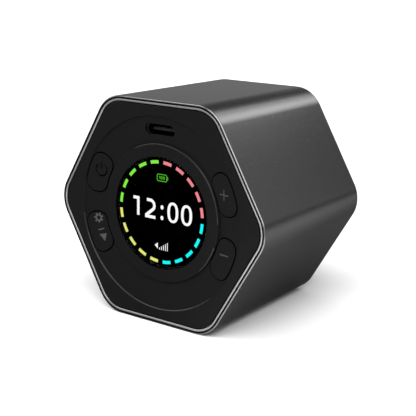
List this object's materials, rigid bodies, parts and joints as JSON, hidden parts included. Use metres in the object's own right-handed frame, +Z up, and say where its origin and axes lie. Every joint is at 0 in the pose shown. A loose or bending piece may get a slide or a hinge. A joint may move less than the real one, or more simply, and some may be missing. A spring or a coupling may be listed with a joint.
{
  "type": "digital countdown timer",
  "caption": "Six-sided tabletop countdown timer: dark aluminium sleeve, round lit display in a dished black panel, press keys and a charging port.",
  "frame": {"origin": "middle of the box's bottom: the centre of the flat it stands on, halfway between the front and rear edges of the sleeve", "axes": "+X to the right seen from the dial, +Y from the dial to the rear cover, +Z up"},
  "size_m": [0.0598, 0.044, 0.054],
  "materials": {
    "anodised_sleeve": "fine-blasted, dark grey anodised",
    "bright_trim": "bright-cut, clear anodised",
    "black_moulding": "fine matt texture",
    "key_plastic": "fine matt texture",
    "clear_window": "clear acrylic, smooth",
    "black_tape": "double-sided tape",
    "display_face": "black display face with lit segments",
    "white_moulding": "natural white moulding",
    "flex_film": "amber film",
    "steel": "nickel-plated",
    "blackened_steel": "black nickel-plated",
    "port_insulator": "moulded black",
    "board_laminate": "green solder mask",
    "chip_package": "moulded black package",
    "foam": "closed-cell foam",
    "cell_pouch": "laminated foil pouch",
    "red_lead": "soft insulation",
    "black_lead": "soft insulation",
    "paper_cone": "pressed paper",
    "magnet_pot": "plated magnet pot"
  },
  "bodies": {
    "housing": {"outer_sleeve": "anodised_sleeve", "front_trim_ring": "bright_trim", "front_panel": "black_moulding", "display_window": "clear_window", "window_tape": "black_tape", "display_panel": "display_face", "display_backlight": "white_moulding", "display_flex": "flex_film", "flex_socket": "white_moulding", "usb_shell": "blackened_steel", "usb_tongue": "port_insulator", "main_board": "board_laminate", "controller_chip": "chip_package", "motion_sensor": "chip_package", "charger_chip": "chip_package", "clock_crystal": "steel", "inner_frame": "black_moulding", "cell_foam": "foam", "battery_cell": "cell_pouch", "battery_socket": "white_moulding", "battery_plug": "white_moulding", "speaker_socket": "white_moulding", "speaker_plug": "white_moulding", "battery_lead_red": "red_lead", "battery_lead_black": "black_lead", "speaker_lead_red": "red_lead", "speaker_lead_black": "black_lead", "speaker_gasket": "foam", "speaker_basket": "steel", "speaker_cone": "paper_cone", "speaker_magnet": "magnet_pot", "rear_cover": "black_moulding", "board_screw_1": "steel", "rear_screw_1": "steel", "board_screw_2": "steel", "rear_screw_2": "steel", "board_screw_3": "steel", "rear_screw_3": "steel", "power_switch_body": "chip_package", "settings_switch_body": "chip_package", "plus_switch_body": "chip_package", "minus_switch_body": "chip_package"},
    "power_key": {"power_button": "key_plastic", "power_switch_plunger": "white_moulding"},
    "settings_key": {"settings_button": "key_plastic", "settings_switch_plunger": "white_moulding"},
    "plus_key": {"plus_button": "key_plastic", "plus_switch_plunger": "white_moulding"},
    "minus_key": {"minus_button": "key_plastic", "minus_switch_plunger": "white_moulding"}
  },
  "joints": [
    {"name": "power_press", "type": "slide", "parent": "housing", "child": "power_key", "axis": [0, 1, 0], "range_m": [0, 0.0003], "stiffness_N_per_m": 3000, "springref_m": -0.0001},
    {"name": "settings_press", "type": "slide", "parent": "housing", "child": "settings_key", "axis": [0, 1, 0], "range_m": [0, 0.0003], "stiffness_N_per_m": 3000, "springref_m": -0.0001},
    {"name": "plus_press", "type": "slide", "parent": "housing", "child": "plus_key", "axis": [0, 1, 0], "range_m": [0, 0.0003], "stiffness_N_per_m": 3000, "springref_m": -0.0001},
    {"name": "minus_press", "type": "slide", "parent": "housing", "child": "minus_key", "axis": [0, 1, 0], "range_m": [0, 0.0003], "stiffness_N_per_m": 3000, "springref_m": -0.0001}
  ]
}
